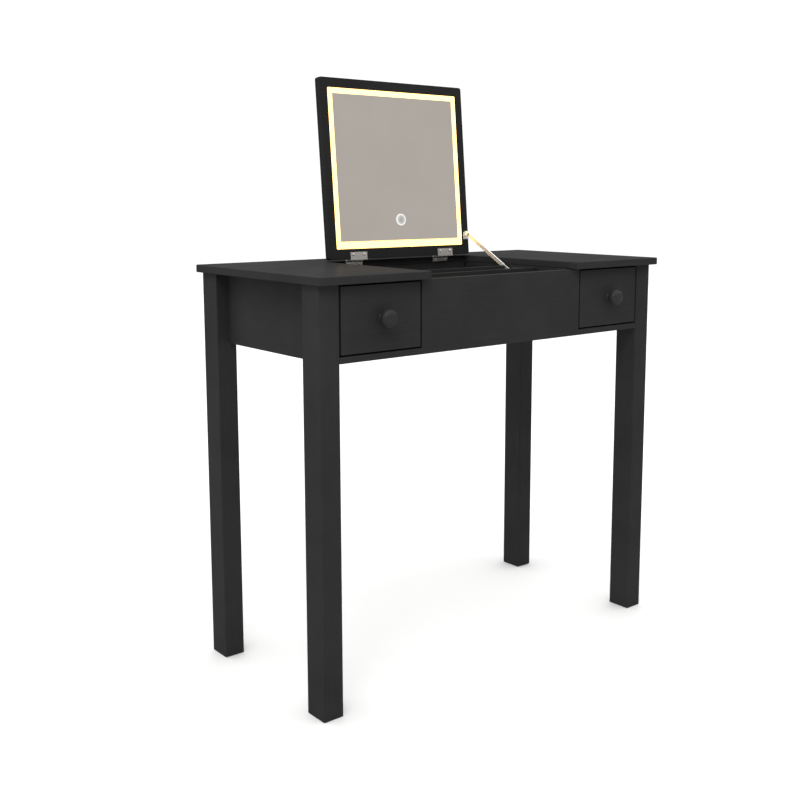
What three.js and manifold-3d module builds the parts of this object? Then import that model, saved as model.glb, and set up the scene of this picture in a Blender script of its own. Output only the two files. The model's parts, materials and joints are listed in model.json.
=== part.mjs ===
// Vanity table with a flip-up lighted mirror, two drawers and an open compartment.
// Millimetres, +Z up, +X to the sitter's right, the sitter's side at -Y.
// The mirror lid stands open, as it does in use.
import * as THREE from 'three';
import { mergeVertices } from 'three/addons/utils/BufferGeometryUtils.js';
import Module from 'manifold-3d';

const wasm = await Module();
wasm.setup();

// ---------------------------------------------------------------- driving sizes
const TABLE_HEIGHT = 760;
const TOP = { width: 852, depth: 414, thickness: 14, cornerRadius: 6, edgeRadius: 1.4 };
const LEG = {
  width: 40.2, depth: 50.4, outerX: 417.2, frontY: -191, rearY: 195, cornerRadius: 1.8, edgeRadius: 1.2,
};
const APRON = { bottom: 614, thickness: 15, setBack: 25.7 };
const RAIL = { height: 11, depth: 40 };
const CUT_OUT = { left: -191.7, right: 179.3, rearY: 122.4, cornerRadius: 4 };
const CENTRE_PANEL = { halfWidth: 201.2, thickness: 15, top: 745 };
const WALL = { thickness: 12, floorThickness: 6, rearThickness: 15 };
const DIVIDER = { thickness: 7, top: 744.5, places: { front: -91, rear: -13 } };
const ARM_SLOT = { width: 6, depth: 22 };
const DRAWER = {
  gap: 3.6, frontThickness: 16, bottomGap: 3, topGap: 4, boxRear: 95, boxTop: 733,
  sideThickness: 12, backThickness: 12, bottomThickness: 4, bottomLift: 4, outerInset: 1.2, innerInset: 1.6,
  cornerRadius: 1.2, edgeRadius: 0.8,
};
const RUNNER = { top: 640.5, width: 14, frontGap: 1, drawerClearance: 0.5 };
const KNOB = {
  baseRadius: 8, baseHeight: 2, neckRadius: 5.6, neckAt: 7, headBack: 12, headBackRadius: 9,
  headRadius: 16.5, widestAt: 20, length: 31,
  screwRadius: 2, holeRadius: 2.3, screwDepth: 15, holeBeyondScrew: 1,
  screwHeadRadius: 4.5, screwHeadHeight: 2.6,
};
// A screw head's slot and narrower top, as shares of its radius and height.
const SCREW_HEAD = { topRadius: 0.72, slotLength: 0.55, slotHalfWidth: 0.12, slotStart: 0.55 };
const PIN = { y: 119.2, z: 759.5, radius: 1.2 };
const LID = {
  width: 365.2, height: 353.6, thickness: 14.6, lean: 5, centreX: -6.2,
  sideBorder: 18.7, topBorder: 19, bottomBorder: 20.4, frameDepth: 9.4,
  lightBand: 9.9, lowerLightBand: 13.9, cornerRadius: 5, innerRadius: 2.5, edgeRadius: 1,
};
const PIN_TO_LID = { rise: 2.8, depth: 14.1 };
const HINGE = {
  halfSpacing: 113.2, width: 41, leaf: 1.5, barrelRadius: 2.3, barrelGap: 0.5, knuckleGap: 0.4, pinInset: 1,
  pinClearance: 0.08, fixedBottom: 749.5, fixedScrewZ: 753.6, lidLeafTop: 13.8, lidScrewUp: 8.9,
  screwSpacing: 26, screwHeadRadius: 2.9, screwHeadHeight: 1.1, screwRadius: 1.3, screwLength: 9,
  pilotClearance: 0.1, leafHoleClearance: 0.2,
};
const STAY = {
  pivotUp: 43.4, pivotOut: 7, planeX: 167.6, openAngle: 29.4, closedAngle: 5, length: 152,
  armWidth: 8, armThickness: 2, pinRadius: 2.5, pinEndGap: 0.7, pivotClearance: 0.3, slotClearance: 0.4,
  trackThickness: 3, trackMargin: 5.5, sideGap: 1,
};
const STAY_BRACKET = {
  width: 14, belowPivot: 11.5, abovePivot: 3.5, thickness: 1.6, earRadius: 5, earThickness: 2,
  headRadius: 3.9, headThickness: 1.4,
};
// How far behind the lid's face each sheet of the lighted mirror starts and ends.
const SHEETS = {
  diffuser: [0.4, 7.2], ledStrip: [7.5, 9.4], glass: [0.6, 4.6], backer: [4.9, 9.4],
};
const LED_STRIP_INSET = 2;
const BUTTON = { radius: 12, up: 76.2, proud: 0.5, back: 0.3 };
const INLET = {
  x: 130, up: 30, radius: 4, depth: 4.2, flangeRadius: 5.6, flangeThickness: 1.3,
  bore: 2.7, boreDepth: 3.4, contactRadius: 0.9, contactReach: 0.6,
};
const LID_TRAVEL = 95;
const LID_GAP = 0.3;

// ---------------------------------------------------------------- derived sizes
const topUnderside = TABLE_HEIGHT - TOP.thickness;
const legInnerX = LEG.outerX - LEG.width;
const legRearOfFrontY = LEG.frontY + LEG.depth;
const legFrontOfRearY = LEG.rearY - LEG.depth;
const railTop = APRON.bottom + RAIL.height;
const sideApronInnerX = LEG.outerX - APRON.setBack - APRON.thickness;
const rearApronOuterY = LEG.rearY - APRON.setBack;
const centrePanelRearY = LEG.frontY + CENTRE_PANEL.thickness;
const wallOuter = { left: CUT_OUT.left - WALL.thickness, right: CUT_OUT.right + WALL.thickness };
const floorTop = railTop + WALL.floorThickness;
const drawerFrontRearY = LEG.frontY + DRAWER.frontThickness;
const drawerInnerX = CENTRE_PANEL.halfWidth + DRAWER.gap;
const drawerOuterX = legInnerX - DRAWER.gap;
const drawerBoxOuterX = drawerOuterX - DRAWER.outerInset;
const drawerBoxInnerX = drawerInnerX + DRAWER.innerInset;
const drawerBoxBottom = RUNNER.top + RUNNER.drawerClearance;
const drawerCentreX = (drawerInnerX + drawerOuterX) / 2;
const drawerFrontBottom = railTop + DRAWER.bottomGap;
const drawerFrontTop = topUnderside - DRAWER.topGap;
const knobZ = (drawerFrontBottom + drawerFrontTop) / 2;
// The knobs reach out furthest in front, so the whole table is moved back to centre its box on the origin.
const frontReach = -LEG.frontY + KNOB.length;
const centringShift = (frontReach - TOP.depth / 2) / 2;

// ---------------------------------------------------------------- materials
const paint = () => new THREE.MeshStandardMaterial({ color: 0x232325, roughness: 0.45, metalness: 0 });
const bareBoard = () => new THREE.MeshStandardMaterial({ color: 0x2a2a2c, roughness: 0.7, metalness: 0 });
const steel = () => new THREE.MeshStandardMaterial({ color: 0xb9bcc0, roughness: 0.3, metalness: 1 });
const screwSteel = () => new THREE.MeshStandardMaterial({ color: 0xc9ccd0, roughness: 0.25, metalness: 1 });
const blackPlastic = () => new THREE.MeshStandardMaterial({ color: 0x151516, roughness: 0.5, metalness: 0 });
const mirrorCoat = () => new THREE.MeshStandardMaterial({ color: 0xe4e8ea, roughness: 0.02, metalness: 1 });
const lightPlastic = () => new THREE.MeshStandardMaterial({ color: 0xfff8df, roughness: 0.5, metalness: 0 });

// ---------------------------------------------------------------- geometry helpers
function toSolid(geometry) {
  const bare = geometry.clone();
  bare.deleteAttribute('normal');
  bare.deleteAttribute('uv');
  const merged = mergeVertices(bare, 1e-4);
  const vertProperties = Float32Array.from(merged.attributes.position.array);
  const triVerts = Uint32Array.from(merged.index.array);
  return new wasm.Manifold(new wasm.Mesh({ numProp: 3, vertProperties, triVerts }));
}

function toGeometry(solid) {
  const mesh = solid.getMesh();
  const geometry = new THREE.BufferGeometry();
  geometry.setAttribute('position', new THREE.BufferAttribute(Float32Array.from(mesh.vertProperties), 3));
  geometry.setIndex(new THREE.BufferAttribute(Uint32Array.from(mesh.triVerts), 1));
  geometry.computeVertexNormals();
  return geometry;
}

function subtractAll(geometry, cutters) {
  return toGeometry(cutters.reduce((solid, cutter) => solid.subtract(toSolid(cutter)), toSolid(geometry)));
}

function joinAll(geometries) {
  const [first, ...others] = geometries.map(toSolid);
  return toGeometry(others.reduce((solid, other) => solid.add(other), first));
}

function boxFromTo(x, y, z) {
  const geometry = new THREE.BoxGeometry(x[1] - x[0], y[1] - y[0], z[1] - z[0]);
  geometry.translate((x[0] + x[1]) / 2, (y[0] + y[1]) / 2, (z[0] + z[1]) / 2);
  return geometry;
}

function cylinderAlong(axis, radius, from, to, centre, segments = 24) {
  const geometry = new THREE.CylinderGeometry(radius, radius, to - from, segments);
  const middle = (from + to) / 2;
  if (axis === 'x') {
    geometry.rotateZ(-Math.PI / 2);
    geometry.translate(middle, centre[0], centre[1]);
  } else {
    geometry.translate(centre[0], middle, centre[1]);
  }
  return geometry;
}

function roundedRectangle(x0, y0, x1, y1, radius, Kind = THREE.Shape) {
  const outline = new Kind();
  outline.moveTo(x0 + radius, y0);
  outline.lineTo(x1 - radius, y0);
  outline.absarc(x1 - radius, y0 + radius, radius, -Math.PI / 2, 0);
  outline.lineTo(x1, y1 - radius);
  outline.absarc(x1 - radius, y1 - radius, radius, 0, Math.PI / 2);
  outline.lineTo(x0 + radius, y1);
  outline.absarc(x0 + radius, y1 - radius, radius, Math.PI / 2, Math.PI);
  outline.lineTo(x0, y0 + radius);
  outline.absarc(x0 + radius, y0 + radius, radius, Math.PI, 1.5 * Math.PI);
  return outline;
}

// Extrudes an outline drawn in XY from bottom to top, with rounded upper and lower edges.
function board(outline, bottom, top, edgeRadius, cornerSegments = 3) {
  const geometry = new THREE.ExtrudeGeometry(outline, {
    depth: top - bottom - 2 * edgeRadius,
    curveSegments: cornerSegments,
    bevelEnabled: edgeRadius > 0,
    bevelThickness: edgeRadius,
    bevelSize: edgeRadius,
    bevelOffset: -edgeRadius,
    bevelSegments: 2,
  });
  geometry.translate(0, 0, bottom + edgeRadius);
  return geometry;
}

// A flat plate standing in a YZ plane, from a list of {y, z} outline points, between two x values.
function sidePlate(outlinePoints, x0, x1) {
  const outline = new THREE.Shape(outlinePoints.map((p) => new THREE.Vector2(p.y, p.z)));
  const geometry = new THREE.ExtrudeGeometry(outline, { depth: x1 - x0, bevelEnabled: false });
  geometry.applyMatrix4(new THREE.Matrix4().makeBasis(
    new THREE.Vector3(0, 1, 0), new THREE.Vector3(0, 0, 1), new THREE.Vector3(1, 0, 0)));
  geometry.translate(x0, 0, 0);
  return geometry;
}

// A bar with round ends between two {y, z} points, between two x values.
function capsulePlate(from, to, radius, x0, x1, endSegments = 10) {
  const along = Math.atan2(to.z - from.z, to.y - from.y);
  const points = [];
  for (const [end, start] of [[to, along - Math.PI / 2], [from, along + Math.PI / 2]]) {
    for (let step = 0; step <= endSegments; step += 1) {
      const angle = start + (Math.PI * step) / endSegments;
      points.push({ y: end.y + radius * Math.cos(angle), z: end.z + radius * Math.sin(angle) });
    }
  }
  return sidePlate(points, x0, x1);
}

const table = new THREE.Group();
table.position.y = centringShift;

function addPiece(parent, name, geometry, material) {
  const mesh = new THREE.Mesh(geometry, material);
  mesh.name = name;
  parent.add(mesh);
  return mesh;
}

// ---------------------------------------------------------------- frame
function addLegs() {
  const insetY = { front: [LEG.frontY, legRearOfFrontY], rear: [legFrontOfRearY, LEG.rearY] };
  const insetX = { left: [-LEG.outerX, -legInnerX], right: [legInnerX, LEG.outerX] };
  for (const [end, y] of Object.entries(insetY)) {
    for (const [side, x] of Object.entries(insetX)) {
      const section = roundedRectangle(x[0], y[0], x[1], y[1], LEG.cornerRadius);
      addPiece(table, `leg_${end}_${side}`, board(section, 0, topUnderside, LEG.edgeRadius), paint());
    }
  }
}

function addAprons() {
  const betweenLegs = [legRearOfFrontY, legFrontOfRearY];
  const outer = LEG.outerX - APRON.setBack;
  const heights = [APRON.bottom, topUnderside];
  addPiece(table, 'side_apron_left', boxFromTo([-outer, -sideApronInnerX], betweenLegs, heights), paint());
  addPiece(table, 'side_apron_right', boxFromTo([sideApronInnerX, outer], betweenLegs, heights), paint());
  const rearY = [rearApronOuterY - APRON.thickness, rearApronOuterY];
  addPiece(table, 'rear_apron', boxFromTo([-legInnerX, legInnerX], rearY, heights), paint());
  const railY = [LEG.frontY, LEG.frontY + RAIL.depth];
  addPiece(table, 'front_rail', boxFromTo([-legInnerX, legInnerX], railY, [APRON.bottom, railTop]), paint());
  const centreX = [-CENTRE_PANEL.halfWidth, CENTRE_PANEL.halfWidth];
  const centreY = [LEG.frontY, centrePanelRearY];
  addPiece(table, 'centre_panel', boxFromTo(centreX, centreY, [railTop, CENTRE_PANEL.top]), paint());
}

// ---------------------------------------------------------------- compartment under the lid
function hingeCentres() {
  return [LID.centreX - HINGE.halfSpacing, LID.centreX + HINGE.halfSpacing];
}

function hingeScrewXs() {
  return hingeCentres().map((x) => [x - HINGE.screwSpacing / 2, x + HINGE.screwSpacing / 2]);
}

function fixedScrewHoles(clearance) {
  return hingeScrewXs().flat().map((x) => cylinderAlong('y', HINGE.screwRadius + clearance,
    CUT_OUT.rearY - 5, CUT_OUT.rearY + HINGE.screwLength, [x, HINGE.fixedScrewZ], 12));
}

function addCompartment() {
  const wallY = [centrePanelRearY, CUT_OUT.rearY];
  const wallZ = [railTop, topUnderside];
  const leftWall = boxFromTo([wallOuter.left, CUT_OUT.left], wallY, wallZ);
  addPiece(table, 'compartment_wall_left', leftWall, paint());
  const rightWall = boxFromTo([CUT_OUT.right, wallOuter.right], wallY, wallZ);
  addPiece(table, 'compartment_wall_right', rightWall, paint());
  const rearY = [CUT_OUT.rearY, CUT_OUT.rearY + WALL.rearThickness];
  const rearWall = boxFromTo([-sideApronInnerX, sideApronInnerX], rearY, wallZ);
  addPiece(table, 'compartment_rear_wall', rearWall, paint());
  const floor = boxFromTo([CUT_OUT.left, CUT_OUT.right], wallY, [railTop, floorTop]);
  addPiece(table, 'compartment_floor', floor, paint());
}

function dividerPlate(y) {
  const thickness = [y - DIVIDER.thickness / 2, y + DIVIDER.thickness / 2];
  return boxFromTo([CUT_OUT.left, CUT_OUT.right], thickness, [floorTop, DIVIDER.top]);
}

// The rear divider is slotted where the stay's arm passes through it.
function addDividers() {
  const { front, rear } = DIVIDER.places;
  const slot = boxFromTo([STAY.planeX - ARM_SLOT.width / 2, STAY.planeX + ARM_SLOT.width / 2],
    [rear - DIVIDER.thickness, rear + DIVIDER.thickness], [DIVIDER.top - ARM_SLOT.depth, DIVIDER.top + 1]);
  addPiece(table, 'divider_front', dividerPlate(front), paint());
  addPiece(table, 'divider_rear', subtractAll(dividerPlate(rear), [slot]), paint());
}

// ---------------------------------------------------------------- tabletop
function tabletopOutline() {
  const halfWidth = TOP.width / 2;
  const halfDepth = TOP.depth / 2;
  const r = TOP.cornerRadius;
  const c = CUT_OUT.cornerRadius;
  const quarter = Math.PI / 2;
  const outline = new THREE.Shape();
  outline.moveTo(-halfWidth + r, -halfDepth);
  outline.lineTo(CUT_OUT.left - c, -halfDepth);
  outline.absarc(CUT_OUT.left - c, -halfDepth + c, c, -quarter, 0);
  outline.lineTo(CUT_OUT.left, CUT_OUT.rearY);
  outline.lineTo(CUT_OUT.right, CUT_OUT.rearY);
  outline.lineTo(CUT_OUT.right, -halfDepth + c);
  outline.absarc(CUT_OUT.right + c, -halfDepth + c, c, Math.PI, 3 * quarter);
  outline.lineTo(halfWidth - r, -halfDepth);
  outline.absarc(halfWidth - r, -halfDepth + r, r, -quarter, 0);
  outline.lineTo(halfWidth, halfDepth - r);
  outline.absarc(halfWidth - r, halfDepth - r, r, 0, quarter);
  outline.lineTo(-halfWidth + r, halfDepth);
  outline.absarc(-halfWidth + r, halfDepth - r, r, quarter, Math.PI);
  outline.lineTo(-halfWidth, -halfDepth + r);
  outline.absarc(-halfWidth + r, -halfDepth + r, r, Math.PI, 3 * quarter);
  return outline;
}

function addTabletop() {
  const slab = board(tabletopOutline(), topUnderside, TABLE_HEIGHT, TOP.edgeRadius, 4);
  addPiece(table, 'tabletop', subtractAll(slab, fixedScrewHoles(HINGE.pilotClearance)), paint());
}

// ---------------------------------------------------------------- drawers and their runners
function addRunners() {
  const z = [railTop, RUNNER.top];
  const y = [drawerFrontRearY + RUNNER.frontGap, CUT_OUT.rearY];
  const innerFar = drawerBoxInnerX + RUNNER.width;
  const outerNear = drawerBoxOuterX - RUNNER.width;
  const outerX = { left: [-sideApronInnerX, -outerNear], right: [outerNear, sideApronInnerX] };
  const innerX = { left: [-innerFar, wallOuter.left], right: [wallOuter.right, innerFar] };
  for (const side of ['left', 'right']) {
    addPiece(table, `runner_${side}_outer`, boxFromTo(outerX[side], y, z), bareBoard());
    addPiece(table, `runner_${side}_inner`, boxFromTo(innerX[side], y, z), bareBoard());
  }
}

// A turned mushroom knob, drawn from its foot at y = 0 toward -Y, bored for its screw.
function knobGeometry() {
  const { headRadius, neckRadius, headBack, widestAt, length } = KNOB;
  const ellipse = 0.5523;
  const profile = new THREE.Shape();
  profile.moveTo(KNOB.holeRadius, 0);
  profile.lineTo(KNOB.baseRadius, 0);
  profile.quadraticCurveTo(neckRadius, KNOB.baseHeight, neckRadius, KNOB.neckAt);
  profile.quadraticCurveTo(neckRadius, headBack, KNOB.headBackRadius, headBack);
  profile.quadraticCurveTo(headRadius, headBack + 1, headRadius, widestAt);
  const domeHandle = widestAt + ellipse * (length - widestAt);
  profile.bezierCurveTo(headRadius, domeHandle, headRadius * ellipse, length, 0, length);
  profile.lineTo(0, KNOB.screwDepth + KNOB.holeBeyondScrew);
  profile.lineTo(KNOB.holeRadius, KNOB.screwDepth + KNOB.holeBeyondScrew);
  profile.closePath();
  const geometry = new THREE.LatheGeometry(profile.getPoints(4), 24);
  geometry.rotateX(Math.PI);
  return toGeometry(toSolid(geometry));
}

// A cross-slotted screw whose head's underside is at the origin, the head toward -Y and the shank toward +Y.
function screwWithHead(headRadius, headHeight, shankRadius, length, segments = 16) {
  const topRadius = headRadius * SCREW_HEAD.topRadius;
  const head = new THREE.CylinderGeometry(topRadius, headRadius, headHeight, segments);
  head.rotateX(Math.PI);
  head.translate(0, -headHeight / 2, 0);
  const shank = cylinderAlong('y', shankRadius, -headHeight / 2, length, [0, 0], segments);
  const halfLength = headRadius * SCREW_HEAD.slotLength;
  const halfWidth = headRadius * SCREW_HEAD.slotHalfWidth;
  const slot = boxFromTo([-halfLength, halfLength], [-headHeight * 2, -headHeight * SCREW_HEAD.slotStart],
    [-halfWidth, halfWidth]);
  const crossSlot = slot.clone().rotateY(Math.PI / 2);
  return subtractAll(joinAll([head, shank]), [slot, crossSlot]);
}

function addDrawer(side) {
  const sign = side === 'left' ? -1 : 1;
  const spanX = (near, far) => [near * sign, far * sign].sort((a, b) => a - b);
  const drawer = new THREE.Group();
  table.add(drawer);
  const face = roundedRectangle(
    drawerInnerX, drawerFrontBottom, drawerOuterX, drawerFrontTop, DRAWER.cornerRadius);
  const front = board(face, 0, DRAWER.frontThickness, DRAWER.edgeRadius);
  front.translate(sign < 0 ? -2 * drawerCentreX : 0, 0, 0);
  front.rotateX(Math.PI / 2);
  front.translate(0, drawerFrontRearY, 0);
  const knobX = sign * drawerCentreX;
  const bore = cylinderAlong('y', KNOB.holeRadius, LEG.frontY - 1, drawerFrontRearY + 1, [knobX, knobZ], 16);
  addPiece(drawer, `drawer_${side}_front`, subtractAll(front, [bore]), paint());

  const boxY = [drawerFrontRearY, DRAWER.boxRear];
  const boxZ = [drawerBoxBottom, DRAWER.boxTop];
  const t = DRAWER.sideThickness;
  const outerSide = boxFromTo(spanX(drawerBoxOuterX - t, drawerBoxOuterX), boxY, boxZ);
  addPiece(drawer, `drawer_${side}_outer_side`, outerSide, bareBoard());
  const innerSide = boxFromTo(spanX(drawerBoxInnerX, drawerBoxInnerX + t), boxY, boxZ);
  addPiece(drawer, `drawer_${side}_inner_side`, innerSide, bareBoard());
  const insideX = spanX(drawerBoxInnerX + t, drawerBoxOuterX - t);
  const backY = [DRAWER.boxRear - DRAWER.backThickness, DRAWER.boxRear];
  addPiece(drawer, `drawer_${side}_back`, boxFromTo(insideX, backY, boxZ), bareBoard());
  const bottomUnderside = drawerBoxBottom + DRAWER.bottomLift;
  const bottomZ = [bottomUnderside, bottomUnderside + DRAWER.bottomThickness];
  addPiece(drawer, `drawer_${side}_bottom`, boxFromTo(insideX, [boxY[0], backY[0]], bottomZ), bareBoard());

  const knob = addPiece(drawer, `drawer_${side}_knob`, knobGeometry(), paint());
  knob.position.set(knobX, LEG.frontY, knobZ);
  const shankLength = DRAWER.frontThickness + KNOB.screwDepth;
  const screw = screwWithHead(KNOB.screwHeadRadius, KNOB.screwHeadHeight, KNOB.screwRadius, shankLength);
  screw.rotateZ(Math.PI);
  addPiece(drawer, `drawer_${side}_knob_screw`, screw, steel()).position.set(knobX, drawerFrontRearY, knobZ);
}

// ---------------------------------------------------------------- hinges
// Both leaves are drawn about the pin's axis, in the YZ plane.
const knuckleThird = HINGE.width / 3;

function fixedLeaf(centreX) {
  const x0 = centreX - HINGE.width / 2;
  const x1 = centreX + HINGE.width / 2;
  const faceY = CUT_OUT.rearY - HINGE.leaf;
  const plateTop = PIN.z - HINGE.barrelRadius - HINGE.barrelGap;
  const knuckleLength = knuckleThird - HINGE.knuckleGap;
  const pieces = [boxFromTo([x0, x1], [faceY, CUT_OUT.rearY], [HINGE.fixedBottom, plateTop])];
  for (const [a, b] of [[x0, x0 + knuckleLength], [x1 - knuckleLength, x1]]) {
    pieces.push(boxFromTo([a, b], [faceY, CUT_OUT.rearY], [plateTop - 1, PIN.z]));
    pieces.push(cylinderAlong('x', HINGE.barrelRadius, a, b, [PIN.y, PIN.z], 20));
  }
  pieces.push(cylinderAlong('x', PIN.radius, x0 + HINGE.pinInset, x1 - HINGE.pinInset, [PIN.y, PIN.z], 16));
  return subtractAll(joinAll(pieces), fixedScrewHoles(HINGE.leafHoleClearance));
}

// ---------------------------------------------------------------- lid, drawn upright with the pin at the origin
const lidGroup = new THREE.Group();
lidGroup.position.set(LID.centreX, PIN.y, PIN.z);
lidGroup.rotation.x = -THREE.MathUtils.degToRad(LID.lean);
table.add(lidGroup);
const faceY = -PIN_TO_LID.depth;
const lidBottom = PIN_TO_LID.rise;
const lidTop = lidBottom + LID.height;
const lidScrewUp = lidBottom + HINGE.lidScrewUp;
const lightWindow = {
  left: -LID.width / 2 + LID.sideBorder,
  right: LID.width / 2 - LID.sideBorder,
  bottom: lidBottom + LID.bottomBorder,
  top: lidTop - LID.topBorder,
};

// The light window drawn in by one inset at the sides and top and another at the bottom.
function insetWindow([inset, bottomInset], radius, Shape = THREE.Shape) {
  const { left, right, bottom, top } = lightWindow;
  return roundedRectangle(left + inset, bottom + bottomInset, right - inset, top - inset, radius, Shape);
}

// A panel, or a ring when a hole is given, parallel to the mirror between two depths behind the lid's face.
function lidSheet(edge, hole, [depthFrom, depthTo]) {
  const smallRadius = 0.6;
  const outline = insetWindow(edge, Math.max(LID.innerRadius - edge[0], smallRadius));
  if (hole) {
    outline.holes.push(insetWindow(hole, smallRadius, THREE.Path));
  }
  return layOnLid(board(outline, 0, depthTo - depthFrom, 0, 2), depthTo);
}

// Stands a sheet drawn in XY upright, with its rear face at the given depth behind the lid's face.
function layOnLid(geometry, rearDepth) {
  geometry.rotateX(Math.PI / 2);
  geometry.translate(0, faceY + rearDepth, 0);
  return geometry;
}

function lidHingeXs() {
  return hingeCentres().map((x) => x - LID.centreX);
}

function lidScrewXs() {
  return hingeScrewXs().flat().map((x) => x - LID.centreX);
}

function addLidBoards() {
  const outer = roundedRectangle(-LID.width / 2, lidBottom, LID.width / 2, lidTop, LID.cornerRadius);
  const ringOutline = outer.clone();
  ringOutline.holes.push(roundedRectangle(
    lightWindow.left, lightWindow.bottom, lightWindow.right, lightWindow.top, LID.innerRadius, THREE.Path));
  const ring = layOnLid(board(ringOutline, 0, LID.frameDepth, LID.edgeRadius), LID.frameDepth);
  const pilotEnd = faceY + LID.frameDepth - LID_GAP * 2;
  const pilotHoles = lidScrewXs().map((x) => cylinderAlong(
    'y', HINGE.screwRadius + HINGE.pilotClearance, faceY - 1, pilotEnd, [x, lidScrewUp], 12));
  addPiece(lidGroup, 'lid_frame', subtractAll(ring, pilotHoles), paint());

  const backThickness = LID.thickness - LID.frameDepth - LID_GAP;
  const back = layOnLid(board(outer, 0, backThickness, LID.edgeRadius), LID.thickness);
  const inletHole = cylinderAlong('y', INLET.radius + LID_GAP, faceY, -faceY, [INLET.x, INLET.up], 20);
  addPiece(lidGroup, 'lid_back_panel', subtractAll(back, [inletHole]), paint());
}

function addInlet() {
  const rearFace = faceY + LID.thickness;
  const flangeFace = rearFace + LID_GAP + INLET.flangeThickness;
  const boreEnd = rearFace - INLET.boreDepth;
  const body = cylinderAlong('y', INLET.radius, rearFace - INLET.depth, rearFace + 1, [0, 0], 20);
  const flange = cylinderAlong('y', INLET.flangeRadius, rearFace + LID_GAP, flangeFace, [0, 0], 20);
  const bore = cylinderAlong('y', INLET.bore, boreEnd, flangeFace + 1, [0, 0], 20);
  const contactTip = rearFace + INLET.contactReach;
  const contact = cylinderAlong('y', INLET.contactRadius, boreEnd - 0.2, contactTip, [0, 0], 12);
  const inlet = joinAll([subtractAll(joinAll([body, flange]), [bore]), contact]);
  addPiece(lidGroup, 'power_inlet', inlet, blackPlastic()).position.set(INLET.x, 0, INLET.up);
}

function addMirrorAndLight() {
  const bandEdge = [LID.lightBand, LID.lowerLightBand];
  const glassEdge = bandEdge.map((inset) => inset + LID_GAP);
  const stripHole = bandEdge.map((inset) => inset - LED_STRIP_INSET);
  const stripEdge = [LED_STRIP_INSET, LED_STRIP_INSET];
  addPiece(lidGroup, 'led_diffuser', lidSheet([LID_GAP, LID_GAP], bandEdge, SHEETS.diffuser), lightPlastic());
  addPiece(lidGroup, 'led_strip', lidSheet(stripEdge, stripHole, SHEETS.ledStrip), lightPlastic());
  addPiece(lidGroup, 'mirror_glass', lidSheet(glassEdge, null, SHEETS.glass), mirrorCoat());
  addPiece(lidGroup, 'mirror_backer', lidSheet(glassEdge, null, SHEETS.backer), blackPlastic());
  const button = cylinderAlong(
    'y', BUTTON.radius, faceY - BUTTON.proud, faceY + BUTTON.back, [0, lidBottom + BUTTON.up], 32);
  addPiece(lidGroup, 'touch_button', button, lightPlastic());
}

function lidLeaf(centreX) {
  const x0 = centreX - HINGE.width / 2;
  const x1 = centreX + HINGE.width / 2;
  const outside = lidBottom - LID_GAP - HINGE.leaf;
  const plateY = [faceY - LID_GAP - HINGE.leaf, faceY - LID_GAP];
  const footReach = -HINGE.barrelRadius - HINGE.barrelGap;
  const pieces = [
    boxFromTo([x0, x1], plateY, [outside, lidBottom + HINGE.lidLeafTop]),
    boxFromTo([x0, x1], [plateY[0], footReach], [outside, lidBottom - LID_GAP]),
  ];
  const k0 = x0 + knuckleThird;
  const k1 = x1 - knuckleThird;
  pieces.push(boxFromTo([k0, k1], [footReach - 1, 0], [outside, lidBottom - LID_GAP]));
  pieces.push(cylinderAlong('x', HINGE.barrelRadius, k0, k1, [0, 0], 20));
  const cutters = lidScrewXs().map((x) => cylinderAlong(
    'y', HINGE.screwRadius + HINGE.leafHoleClearance, plateY[0] - 1, plateY[1] + 1, [x, lidScrewUp], 12));
  cutters.push(cylinderAlong('x', PIN.radius + HINGE.pinClearance, k0 - 1, k1 + 1, [0, 0], 16));
  return subtractAll(joinAll(pieces), cutters);
}

function addHinges() {
  const names = ['left', 'right'];
  hingeCentres().forEach((x, index) => {
    addPiece(table, `hinge_${names[index]}_fixed_leaf`, fixedLeaf(x), steel());
  });
  lidHingeXs().forEach((x, index) => {
    addPiece(lidGroup, `hinge_${names[index]}_lid_leaf`, lidLeaf(x), steel());
  });
  const hingeScrew = () => screwWithHead(
    HINGE.screwHeadRadius, HINGE.screwHeadHeight, HINGE.screwRadius, HINGE.screwLength - 2);
  hingeScrewXs().flat().forEach((x, index) => {
    const screw = addPiece(table, `fixed_leaf_screw_${index + 1}`, hingeScrew(), screwSteel());
    screw.position.set(x, CUT_OUT.rearY - HINGE.leaf, HINGE.fixedScrewZ);
  });
  lidScrewXs().forEach((x, index) => {
    const screw = addPiece(lidGroup, `lid_leaf_screw_${index + 1}`, hingeScrew(), screwSteel());
    screw.position.set(x, faceY - 2 * LID_GAP - HINGE.leaf, lidScrewUp);
  });
}

// ---------------------------------------------------------------- lid stay
// The arm hangs from a stud on the lid's bracket, and its lower pin runs in a curved slot.
// The slot is the path that the pin takes when the arm turns in a fixed ratio to the lid.
const arm = { x0: STAY.planeX - STAY.armThickness / 2, x1: STAY.planeX + STAY.armThickness / 2 };
const pivotOnLid = { y: faceY - STAY.pivotOut, z: lidBottom + STAY.pivotUp };

function pivotAt(closing) {
  const turn = THREE.MathUtils.degToRad(closing * LID_TRAVEL - LID.lean);
  return {
    y: PIN.y + pivotOnLid.y * Math.cos(turn) - pivotOnLid.z * Math.sin(turn),
    z: PIN.z + pivotOnLid.y * Math.sin(turn) + pivotOnLid.z * Math.cos(turn),
  };
}

function lowerPinAt(closing) {
  const pivot = pivotAt(closing);
  const angle = THREE.MathUtils.degToRad(STAY.openAngle + closing * (STAY.closedAngle - STAY.openAngle));
  return { y: pivot.y - STAY.length * Math.cos(angle), z: pivot.z - STAY.length * Math.sin(angle) };
}

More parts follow.
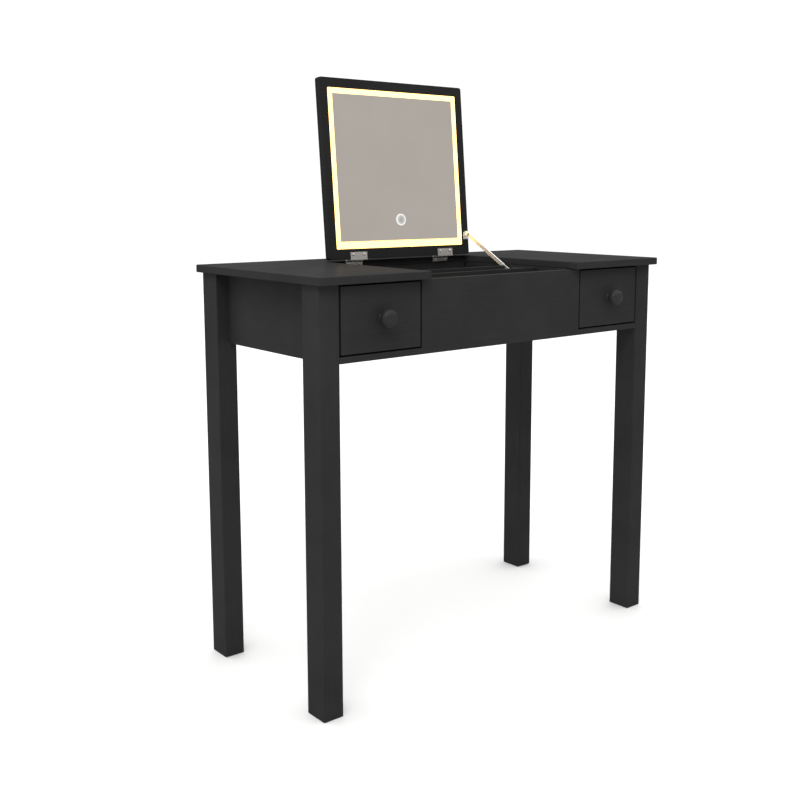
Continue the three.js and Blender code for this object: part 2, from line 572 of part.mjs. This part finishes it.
function addStayTrack() {
  const steps = 16;
  const path = Array.from({ length: steps + 1 }, (_, step) => lowerPinAt(step / steps));
  const margin = STAY.trackMargin;
  const y = path.map((p) => p.y);
  const z = path.map((p) => p.z);
  const x0 = CUT_OUT.right - STAY.trackThickness;
  const plate = boxFromTo([x0, CUT_OUT.right], [Math.min(...y) - margin, Math.max(...y) + margin],
    [Math.min(...z) - margin, Math.max(...z) + margin]);
  const slotRadius = STAY.pinRadius + STAY.slotClearance;
  const slot = path.slice(1).map((point, index) => capsulePlate(
    path[index], point, slotRadius, x0 - 1, CUT_OUT.right + 1));
  addPiece(table, 'stay_track', subtractAll(plate, slot), blackPlastic());
}

function addStayArm() {
  const top = pivotAt(0);
  const bottom = lowerPinAt(0);
  const bar = capsulePlate(bottom, top, STAY.armWidth / 2, arm.x0, arm.x1);
  const pinEnd = CUT_OUT.right - STAY.pinEndGap;
  const pin = cylinderAlong('x', STAY.pinRadius, arm.x0, pinEnd, [bottom.y, bottom.z]);
  const holeRadius = STAY.pinRadius + STAY.pivotClearance;
  const hole = cylinderAlong('x', holeRadius, arm.x0 - 1, arm.x1 + 1, [top.y, top.z]);
  addPiece(table, 'stay_arm', subtractAll(joinAll([bar, pin]), [hole]), steel());
}

function addStayBracket() {
  const { y, z } = pivotOnLid;
  const localX = STAY.planeX - LID.centreX;
  const armSide = STAY.armThickness / 2 + STAY.sideGap;
  const earX = [localX - armSide - STAY_BRACKET.earThickness, localX - armSide];
  const headX = [localX + armSide, localX + armSide + STAY_BRACKET.headThickness];
  const baseX = [LID.width / 2 - LID.edgeRadius - STAY_BRACKET.width, LID.width / 2 - LID.edgeRadius];
  const baseY = [faceY - LID_GAP - STAY_BRACKET.thickness, faceY - LID_GAP];
  const baseZ = [z - STAY_BRACKET.belowPivot, z + STAY_BRACKET.abovePivot];
  const pieces = [
    boxFromTo(baseX, baseY, baseZ),
    capsulePlate({ y: baseY[0] + 1, z }, { y, z }, STAY_BRACKET.earRadius, ...earX),
    cylinderAlong('x', STAY.pinRadius, earX[0], headX[1], [y, z]),
    cylinderAlong('x', STAY_BRACKET.headRadius, ...headX, [y, z]),
  ];
  const behindBase = boxFromTo([0, LID.width], [baseY[1], baseY[1] + LID.thickness], [z - 20, z + 20]);
  addPiece(lidGroup, 'stay_lid_bracket', subtractAll(joinAll(pieces), [behindBase]), steel());
}

addLegs();
addAprons();
addCompartment();
addDividers();
addTabletop();
addRunners();
addDrawer('left');
addDrawer('right');
addLidBoards();
addInlet();
addMirrorAndLight();
addHinges();
addStayTrack();
addStayArm();
addStayBracket();

export default table;
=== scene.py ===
"""Looks for the vanity table with a flip-up lighted mirror, built on the CAD frame. Metres, +Z up."""
import json
import math

import bmesh
import bpy
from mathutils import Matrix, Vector


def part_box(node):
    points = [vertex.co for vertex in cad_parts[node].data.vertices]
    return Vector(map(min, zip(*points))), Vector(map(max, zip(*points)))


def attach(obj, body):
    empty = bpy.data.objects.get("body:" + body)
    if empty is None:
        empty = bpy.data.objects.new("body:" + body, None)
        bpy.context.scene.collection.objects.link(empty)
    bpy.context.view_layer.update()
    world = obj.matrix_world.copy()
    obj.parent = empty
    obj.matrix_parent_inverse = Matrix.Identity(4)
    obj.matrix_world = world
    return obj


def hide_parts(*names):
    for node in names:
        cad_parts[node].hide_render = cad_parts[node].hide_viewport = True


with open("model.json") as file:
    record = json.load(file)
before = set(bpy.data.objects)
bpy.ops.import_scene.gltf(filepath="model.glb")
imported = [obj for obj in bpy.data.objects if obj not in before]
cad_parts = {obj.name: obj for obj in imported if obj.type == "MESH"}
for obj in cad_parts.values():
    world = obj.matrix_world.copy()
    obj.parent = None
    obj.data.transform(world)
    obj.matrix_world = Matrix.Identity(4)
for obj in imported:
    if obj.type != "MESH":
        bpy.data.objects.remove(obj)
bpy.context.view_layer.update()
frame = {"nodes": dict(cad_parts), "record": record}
nodes = frame["nodes"]
body_of_node = {
    node: body for body, members in frame["record"]["behaviour"]["bodies"].items() for node in members
}

MM = 0.001

# ------------------------------------------------------------------ camera
# Place in metres, heading clockwise from +Y and dip below the horizontal in degrees, lens in millimetres.
CAMERA_PLACE = (-1.36876, -1.59091, 0.89048)
CAMERA_HEADING = 39.58
CAMERA_DIP = 8.12
CAMERA_LENS = 47.66
CAMERA_SENSOR_WIDTH = 36.0
CAMERA_SHIFT = (-0.0256, -0.0681)


def make_camera():
    """The scene's one camera, in front of the table and to the left."""
    data = bpy.data.cameras.new("camera")
    data.sensor_width = CAMERA_SENSOR_WIDTH
    data.lens = CAMERA_LENS
    data.shift_x, data.shift_y = CAMERA_SHIFT
    camera = bpy.data.objects.new("camera", data)
    bpy.context.collection.objects.link(camera)
    camera.location = CAMERA_PLACE
    camera.rotation_euler = (math.radians(90 - CAMERA_DIP), 0, math.radians(-CAMERA_HEADING))
    bpy.context.scene.camera = camera


# ------------------------------------------------------------------ node helpers
class Tree:
    """A small wrapper that keeps shader code to one line per node."""

    def __init__(self, name):
        self.material = bpy.data.materials.new(name)
        self.material.use_nodes = True
        self.nodes = self.material.node_tree.nodes
        self.links = self.material.node_tree.links
        self.shader = self.nodes["Principled BSDF"]
        self.coords = self.nodes.new("ShaderNodeTexCoord").outputs["Object"]

    def put(self, socket, value):
        if isinstance(value, bpy.types.NodeSocket):
            self.links.new(value, socket)
        else:
            socket.default_value = value

    def set(self, **values):
        for name, value in values.items():
            self.put(self.shader.inputs[name.replace("_", " ")], value)

    def scaled(self, scale):
        mapping = self.nodes.new("ShaderNodeMapping")
        self.links.new(self.coords, mapping.inputs["Vector"])
        mapping.inputs["Scale"].default_value = scale
        return mapping.outputs["Vector"]

    def noise(self, scale, stretch=(1, 1, 1), detail=3.0, roughness=0.5, distortion=0.0):
        node = self.nodes.new("ShaderNodeTexNoise")
        self.links.new(self.scaled(tuple(scale * s for s in stretch)), node.inputs["Vector"])
        node.inputs["Scale"].default_value = 1.0
        node.inputs["Detail"].default_value = detail
        node.inputs["Roughness"].default_value = roughness
        node.inputs["Distortion"].default_value = distortion
        return node.outputs["Fac"]

    def ramp(self, fac, low, high, from_min=0.3, from_max=0.7):
        node = self.nodes.new("ShaderNodeMapRange")
        self.put(node.inputs["Value"], fac)
        node.inputs["From Min"].default_value = from_min
        node.inputs["From Max"].default_value = from_max
        self.put(node.inputs["To Min"], low)
        self.put(node.inputs["To Max"], high)
        return node.outputs["Result"]

    def math(self, operation, a, b=0.0):
        node = self.nodes.new("ShaderNodeMath")
        node.operation = operation
        self.put(node.inputs[0], a)
        self.put(node.inputs[1], b)
        return node.outputs["Value"]

    def mix(self, fac, a, b):
        node = self.nodes.new("ShaderNodeMix")
        node.data_type = "RGBA"
        self.put(node.inputs["Factor"], fac)
        self.put(node.inputs["A"], a)
        self.put(node.inputs["B"], b)
        return node.outputs["Result"]

    def bump(self, height, distance, strength, onto=None):
        node = self.nodes.new("ShaderNodeBump")
        node.inputs["Strength"].default_value = strength
        node.inputs["Distance"].default_value = distance
        self.links.new(height, node.inputs["Height"])
        if onto is not None:
            self.links.new(onto, node.inputs["Normal"])
        return node.outputs["Normal"]

    def edges(self, radius):
        """1 along the convex and concave edges of the piece, 0 on its flat faces."""
        bevel = self.nodes.new("ShaderNodeBevel")
        bevel.samples = 4
        bevel.inputs["Radius"].default_value = radius
        geometry = self.nodes.new("ShaderNodeNewGeometry")
        dot = self.nodes.new("ShaderNodeVectorMath")
        dot.operation = "DOT_PRODUCT"
        self.links.new(bevel.outputs["Normal"], dot.inputs[0])
        self.links.new(geometry.outputs["Normal"], dot.inputs[1])
        return self.ramp(dot.outputs["Value"], 1.0, 0.0, from_min=0.80, from_max=0.995)


def grey(value, tint=(1.0, 1.0, 1.0)):
    """An opaque grey of this value, tinted."""
    return (value * tint[0], value * tint[1], value * tint[2], 1.0)


# ------------------------------------------------------------------ materials
# How a noise is stretched so that its streaks run along an axis.
GRAIN = {"x": (0.06, 1, 1), "y": (1, 0.06, 1), "z": (1, 1, 0.06)}

UNLIT_DIFFUSER = (0.30, 0.25, 0.10, 1.0)
WARM_LIGHT = (1.0, 0.60, 0.172, 1.0)
PALER_WARM_LIGHT = (1.0, 0.62, 0.178, 1.0)

# The touch key, in millimetres from its centre.
KEY_RIM_START, KEY_RIM_FULL = 8.2, 9.4
KEY_RING_RADIUS = 3.0
KEY_RING_SOLID, KEY_RING_FADED = 0.5, 0.9


def painted_wood(name, grain, base=0.0195, coat=0.038, coat_roughness=0.30):
    """Satin black sprayed paint over wood: orange peel, faint grain, handled patches; lighter edges that
    are partly worn paint and partly a painted highlight.
    """
    t = Tree(name)
    cloud = t.noise(7, detail=4.0, roughness=0.6)
    fibres = t.noise(260, GRAIN[grain], detail=5.0, roughness=0.65, distortion=0.4)
    pores = t.noise(900, GRAIN[grain], detail=2.0)
    peel = t.noise(620, detail=2.0, roughness=0.4)
    # Lighter edges: partly worn paint, partly a painted highlight along the arrises. The mask takes in
    # concave edges too.
    worn_and_highlit_edges = t.math("MULTIPLY", t.edges(0.9 * MM), t.ramp(t.noise(45, detail=4.0), 0.25, 1.0))
    darker, lighter = grey(base * 0.86, (1, 1, 1.04)), grey(base * 1.14, (1.02, 1, 0.99))
    tone = t.mix(t.ramp(cloud, 0.0, 1.0), darker, lighter)
    tone = t.mix(t.math("MULTIPLY", t.ramp(fibres, 0.0, 1.0), 0.25), tone, grey(base * 1.5))
    tone = t.mix(t.math("MULTIPLY", worn_and_highlit_edges, 0.5), tone, grey(base * 3.2, (1.0, 0.98, 0.95)))
    patches = t.noise(11, detail=6.0, roughness=0.7)
    rough = t.math("ADD", t.ramp(patches, 0.52, 0.68), t.ramp(pores, -0.02, 0.04))
    t.set(Base_Color=tone, Roughness=rough, Specular_IOR_Level=0.0)
    t.set(Coat_Weight=t.ramp(patches, coat * 1.2, coat * 0.8), Coat_Roughness=coat_roughness)
    normal = t.bump(peel, 0.035 * MM, 0.5)
    normal = t.bump(fibres, 0.05 * MM, 0.35, onto=normal)
    t.set(Normal=normal, Coat_Normal=normal)
    return t.material


def inner_board(name):
    """Thin matt black foil on board, for the parts that stay inside, with a painted highlight along its
    edges.
    """
    t = Tree(name)
    cloud = t.noise(16, detail=5.0, roughness=0.6)
    fibres = t.noise(330, GRAIN["y"], detail=4.0, roughness=0.6)
    tone = t.mix(t.ramp(cloud, 0.0, 1.0), grey(0.014), grey(0.021, (1.03, 1, 0.96)))
    # Painted highlight: the edges are lightened to stand in for light catching them.
    tone = t.mix(t.math("MULTIPLY", t.edges(0.6 * MM), 0.35), tone, grey(0.05, (1.0, 0.95, 0.9)))
    t.set(Base_Color=tone, Roughness=t.ramp(fibres, 0.5, 0.68), Specular_IOR_Level=0.1)
    t.set(Normal=t.bump(fibres, 0.06 * MM, 0.5))
    return t.material


def plated_steel(name, brushed, tone=0.48, roughness=0.34):
    """Nickel-plated pressed steel with fine brushing, small scuffs and a painted highlight along its edges.
    """
    t = Tree(name)
    lines = t.noise(2400, GRAIN[brushed], detail=3.0, roughness=0.6)
    scuffs = t.noise(120, detail=6.0, roughness=0.75)
    worn, clean = grey(tone * 0.88, (1, 0.99, 0.96)), grey(tone * 1.08, (1, 1, 1.01))
    colour = t.mix(t.ramp(scuffs, 0.0, 1.0), worn, clean)
    # Painted highlight: the edges are lightened to stand in for light glinting on them.
    colour = t.mix(t.math("MULTIPLY", t.edges(0.3 * MM), 0.5), colour, grey(tone * 1.35))
    rough = t.math("ADD", t.ramp(lines, roughness - 0.06, roughness + 0.08), t.ramp(scuffs, -0.03, 0.06))
    t.set(Base_Color=colour, Metallic=1.0, Roughness=rough)
    t.set(Normal=t.bump(lines, 0.012 * MM, 0.6))
    return t.material


def mirror_silver():
    """Silvered float glass, with a trace of wiping marks in its gloss."""
    t = Tree("mirror_silver")
    wipes = t.noise(26, (1, 1, 0.25), detail=5.0, roughness=0.7, distortion=1.2)
    haze = t.noise(9, detail=3.0)
    colour = t.mix(t.ramp(haze, 0.0, 1.0), grey(0.84, (0.985, 1.0, 0.99)), grey(0.88, (0.99, 1.0, 0.995)))
    t.set(Base_Color=colour, Metallic=1.0, Roughness=t.ramp(wipes, 0.012, 0.035, 0.35, 0.8))
    return t.material


def lit_plastic(name, strength):
    """Frosted plastic lit from behind in warm white, very slightly uneven in colour."""
    t = Tree(name)
    frost = t.noise(2600, detail=2.0)
    spread = t.noise(60, detail=1.0)
    colour = t.mix(t.ramp(spread, 0.0, 1.0), WARM_LIGHT, PALER_WARM_LIGHT)
    t.set(Base_Color=UNLIT_DIFFUSER, Roughness=t.ramp(frost, 0.42, 0.6))
    t.set(Emission_Color=colour, Emission_Strength=strength)
    t.set(Normal=t.bump(frost, 0.01 * MM, 0.4))
    return t.material


def touch_light(centre):
    """A round touch key: a bright rim round a slightly greyer pad with a small plain ring printed on it."""
    t = Tree("touch_light")
    distance = t.nodes.new("ShaderNodeVectorMath")
    distance.operation = "DISTANCE"
    t.links.new(t.coords, distance.inputs[0])
    distance.inputs[1].default_value = centre
    radius = distance.outputs["Value"]
    frost = t.noise(1800, detail=2.0)
    rim = t.ramp(radius, 0.0, 1.0, KEY_RIM_START * MM, KEY_RIM_FULL * MM)
    from_ring = t.math("ABSOLUTE", t.math("SUBTRACT", radius, KEY_RING_RADIUS * MM))
    printed = t.ramp(from_ring, 1.0, 0.0, KEY_RING_SOLID * MM, KEY_RING_FADED * MM)
    pad = t.mix(t.ramp(frost, 0.0, 1.0), grey(0.60, (1, 0.98, 0.93)), grey(0.66, (1, 0.98, 0.93)))
    colour = t.mix(printed, pad, grey(0.30, (1, 0.97, 0.92)))
    colour = t.mix(rim, colour, grey(1.25, (1, 0.99, 0.95)))
    t.set(Base_Color=grey(0.10), Roughness=t.ramp(frost, 0.35, 0.5))
    t.set(Emission_Color=colour, Emission_Strength=0.62)
    t.set(Normal=t.bump(frost, 0.008 * MM, 0.3))
    return t.material


def moulded_plastic(name):
    """Spark-eroded matt black plastic."""
    t = Tree(name)
    spark = t.noise(2200, detail=3.0, roughness=0.7)
    cloud = t.noise(40, detail=3.0)
    t.set(Base_Color=t.mix(t.ramp(cloud, 0.0, 1.0), grey(0.010), grey(0.018)))
    t.set(Roughness=t.ramp(spark, 0.42, 0.6), Normal=t.bump(spark, 0.03 * MM, 0.5))
    return t.material


def pale_floor():
    """Matt pale grey, with a barely visible cloudiness."""
    t = Tree("pale_floor")
    cloud = t.noise(1.3, detail=4.0)
    t.set(Base_Color=t.mix(t.ramp(cloud, 0.0, 1.0), grey(0.56), grey(0.58, (1.0, 0.998, 0.99))))
    t.set(Roughness=t.ramp(t.noise(30, detail=4.0), 0.75, 0.9), Specular_IOR_Level=0.2)
    return t.material


# ------------------------------------------------------------------ refined pieces
WELD_DISTANCE = 2e-6
COPLANAR_DEGREES = 1.0
SHARP_DEGREES = 25
BOARD_EDGE = 0.5 * MM


def refined(node, material, bevel, segments=3):
    """A finer copy of a CAD node: triangles joined into clean faces, sharp edges rounded by the bevel."""
    source = nodes[node]
    mesh = source.data.copy()
    bm = bmesh.new()
    bm.from_mesh(mesh)
    bmesh.ops.remove_doubles(bm, verts=bm.verts, dist=WELD_DISTANCE)
    coplanar = math.radians(COPLANAR_DEGREES)
    bmesh.ops.dissolve_limit(bm, angle_limit=coplanar, verts=bm.verts, edges=bm.edges)
    if bevel > 0:
        sharp = [
            e for e in bm.edges
            if len(e.link_faces) == 2 and e.calc_face_angle(0.0) > math.radians(SHARP_DEGREES)
        ]
        bmesh.ops.bevel(
            bm, geom=sharp, offset=bevel, segments=segments, profile=0.5, affect="EDGES", clamp_overlap=True
        )
    for face in bm.faces:
        face.smooth = True
    bm.to_mesh(mesh)
    bm.free()
    # Normals stored with the CAD mesh don't fit the new faces.
    if "custom_normal" in mesh.attributes:
        mesh.attributes.remove(mesh.attributes["custom_normal"])
    mesh.materials.clear()
    mesh.materials.append(material)
    piece = bpy.data.objects.new(f"fine_{node}", mesh)
    bpy.context.collection.objects.link(piece)
    weighted = piece.modifiers.new("weighted_normals", "WEIGHTED_NORMAL")
    weighted.weight = 80
    weighted.keep_sharp = True
    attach(piece, body_of_node[node])
    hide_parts(node)


def smooth_lathe(name, profile, turns, material, body):
    """A turned piece about the Y axis through the origin, from (radius, y) points."""
    bm = bmesh.new()
    rings = []
    for radius, y in profile:
        if radius < 1e-6:
            rings.append([bm.verts.new((0, y, 0))])
            continue
        rings.append([
            bm.verts.new((radius * math.cos(a), y, radius * math.sin(a)))
            for a in (2 * math.pi * i / turns for i in range(turns))
        ])
    for lower, upper in zip(rings, rings[1:]):
        for i in range(turns):
            j = (i + 1) % turns
            near = [lower[i % len(lower)], lower[j % len(lower)]]
            far = [upper[j % len(upper)], upper[i % len(upper)]]
            bm.faces.new(list(dict.fromkeys(near + far)))
    bmesh.ops.recalc_face_normals(bm, faces=bm.faces)
    for face in bm.faces:
        face.smooth = True
    mesh = bpy.data.meshes.new(name)
    bm.to_mesh(mesh)
    bm.free()
    mesh.materials.append(material)
    piece = bpy.data.objects.new(name, mesh)
    bpy.context.collection.objects.link(piece)
    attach(piece, body)
    return piece


def make_boards():
    """Every board and leg. The top, the legs and the lid's boards come from the CAD with rounded edges."""
    along_x = painted_wood("paint_grain_x", "x")
    along_y = painted_wood("paint_grain_y", "y")
    along_z = painted_wood("paint_grain_z", "z")
    inner = inner_board("inner_board")
    for node in ("tabletop", "front_rail", "rear_apron", "centre_panel", "compartment_rear_wall",
                 "compartment_floor", "divider_front", "divider_rear",
                 "drawer_left_front", "drawer_right_front"):
        refined(node, along_x, 0.0 if node == "tabletop" else BOARD_EDGE)
    for node in ("side_apron_left", "side_apron_right", "compartment_wall_left", "compartment_wall_right"):
        refined(node, along_y, BOARD_EDGE)
    for node in ("leg_front_left", "leg_front_right", "leg_rear_left", "leg_rear_right"):
        refined(node, along_z, 0.0)
    # Painted shade: the lid's boards get a darker copy of the same black paint, to offset the extra sky
    # that their faces catch.
    lid_paint_with_painted_shade = painted_wood("paint_lid_painted_shade", "x", base=0.0145)
    for node in ("lid_frame", "lid_back_panel"):
        refined(node, lid_paint_with_painted_shade, 0.0)
    for node in nodes:
        if node.startswith("runner") or node.endswith(("_side", "_back", "_bottom")):
            refined(node, inner, BOARD_EDGE)


def make_hardware():
    """The hinge leaves, screws and lid stay."""
    leaf = plated_steel("plated_steel", "x")
    arm = plated_steel("plated_steel_arm", "y", tone=0.72, roughness=0.5)
    bright = plated_steel("bright_screw_steel", "x", tone=0.74, roughness=0.18)
    for node in nodes:
        if node.endswith("_leaf"):
            refined(node, leaf, bevel=0.15 * MM, segments=2)
        elif "screw" in node:
            refined(node, bright, bevel=0.0)
    for node in ("stay_arm", "stay_lid_bracket"):
        refined(node, arm, bevel=0.2 * MM, segments=2)
    refined("stay_track", moulded_plastic("track_plastic"), bevel=0.2 * MM, segments=2)


# The turned knob, in millimetres: lengths are measured out from the drawer front.
KNOB_HEAD_RADIUS = 16.5
KNOB_WIDEST_AT = 20.0
KNOB_LENGTH = 31.0


def make_knobs():
    """The two knobs, each a foot, a thin neck, the back of the head and an elliptical dome."""
    paint = painted_wood("paint_knob", "y", coat=0.14, coat_roughness=0.28)
    foot = [(0.0, 0.0), (7.6, 0.0), (8.0, 0.4), (7.3, 1.0), (6.1, 2.4), (5.6, 5.0), (5.6, 8.0), (6.2, 10.5)]
    back = [(7.6, 11.7), (9.5, 12.1), (12.5, 12.6), (14.8, 14.2), (16.0, 16.8)]
    back.append((KNOB_HEAD_RADIUS, KNOB_WIDEST_AT))
    dome_height = KNOB_LENGTH - KNOB_WIDEST_AT
    dome = [
        (KNOB_HEAD_RADIUS * math.cos(a), KNOB_WIDEST_AT + dome_height * math.sin(a))
        for a in (math.radians(10 * step) for step in range(1, 9))
    ]
    outline = foot + back + dome + [(0.0, KNOB_LENGTH)]
    for side in ("left", "right"):
        low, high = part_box(f"drawer_{side}_knob")
        profile = [(radius * MM, -along * MM) for radius, along in outline]
        knob = smooth_lathe(f"turned_knob_{side}", profile, 64, paint, f"drawer_{side}")
        foot_centre = Vector(((low[0] + high[0]) / 2, high[1], (low[2] + high[2]) / 2))
        for vertex in knob.data.vertices:
            vertex.co += foot_centre
        smoother = knob.modifiers.new("subdivision", "SUBSURF")
        smoother.levels = smoother.render_levels = 1
        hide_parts(f"drawer_{side}_knob")


def make_mirror():
    """The mirror, its light, the touch key and the power inlet."""
    refined("mirror_glass", mirror_silver(), bevel=0.6 * MM, segments=2)
    refined("led_diffuser", lit_plastic("lit_diffuser", strength=3.4), bevel=0.3 * MM, segments=2)
    refined("led_strip", lit_plastic("led_board", strength=1.0), bevel=0.0)
    refined("mirror_backer", moulded_plastic("backer_board"), bevel=0.0)
    refined("power_inlet", moulded_plastic("inlet_plastic"), bevel=0.15 * MM, segments=2)
    low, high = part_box("touch_button")
    centre = [(a + b) / 2 for a, b in zip(low, high)]
    refined("touch_button", touch_light(centre), bevel=0.1 * MM, segments=2)


# ------------------------------------------------------------------ studio
FLOOR_SIZE = 14.0
HORIZON_SKY = 1.05
OVERHEAD_SKY = 2.7
LOW_BAND_COLOUR = (0.50, 0.455, 0.415, 1.0)


def make_floor():
    """A floor that the four legs stand on."""
    bpy.ops.mesh.primitive_plane_add(size=FLOOR_SIZE, location=(0, 0, 0))
    floor = bpy.context.object
    floor.name = "floor"
    floor.data.materials.append(pale_floor())


def area_light(name, place, aim, size, power):
    """A white rectangular light of this size in metres and power in watts, turned to its aim."""
    data = bpy.data.lights.new(name, "AREA")
    data.shape = "RECTANGLE"
    data.size, data.size_y = size
    data.energy = power
    light = bpy.data.objects.new(name, data)
    bpy.context.collection.objects.link(light)
    light.location = place
    light.rotation_euler = (Vector(aim) - Vector(place)).to_track_quat("-Z", "Y").to_euler()


def make_surroundings():
    """A white studio, brighter overhead, with a warm grey band above the horizon on the sitter's side."""
    world = bpy.data.worlds.new("studio")
    bpy.context.scene.world = world
    world.use_nodes = True
    tree = world.node_tree

    def ramp(value, from_min, from_max):
        node = tree.nodes.new("ShaderNodeMapRange")
        node.interpolation_type = "SMOOTHSTEP"
        tree.links.new(value, node.inputs["Value"])
        node.inputs["From Min"].default_value = from_min
        node.inputs["From Max"].default_value = from_max
        return node.outputs["Result"]

    def times(a, b):
        node = tree.nodes.new("ShaderNodeMath")
        node.operation = "MULTIPLY"
        tree.links.new(a, node.inputs[0])
        tree.links.new(b, node.inputs[1])
        return node.outputs["Value"]

    def mix(fac):
        node = tree.nodes.new("ShaderNodeMix")
        node.data_type = "RGBA"
        tree.links.new(fac, node.inputs["Factor"])
        return node

    axes = tree.nodes.new("ShaderNodeSeparateXYZ")
    tree.links.new(tree.nodes.new("ShaderNodeTexCoord").outputs["Generated"], axes.inputs["Vector"])
    height = axes.outputs["Z"]
    sky = mix(ramp(height, 0.05, 1.0))
    sky.inputs["A"].default_value = grey(HORIZON_SKY)
    sky.inputs["B"].default_value = grey(OVERHEAD_SKY)
    on_sitters_side = ramp(axes.outputs["Y"], -0.2, -0.55)
    low_band = times(ramp(height, 0.0, 0.08), ramp(height, 0.5, 0.3))
    studio = mix(times(on_sitters_side, low_band))
    tree.links.new(sky.outputs["Result"], studio.inputs["A"])
    studio.inputs["B"].default_value = LOW_BAND_COLOUR
    tree.links.new(studio.outputs["Result"], tree.nodes["Background"].inputs["Color"])


def make_studio():
    """Floor, surroundings and two large soft lights."""
    make_floor()
    make_surroundings()
    area_light("key", place=(-1.8, -1.6, 2.8), aim=(0, 0, 0.6), size=(1.2, 1.2), power=34)
    area_light("fill", place=(2.5, 0.3, 2.2), aim=(0, 0, 0.5), size=(1.6, 1.6), power=9)
    bpy.context.scene.view_settings.view_transform = "Standard"


make_camera()
make_boards()
make_hardware()
make_knobs()
make_mirror()
make_studio()
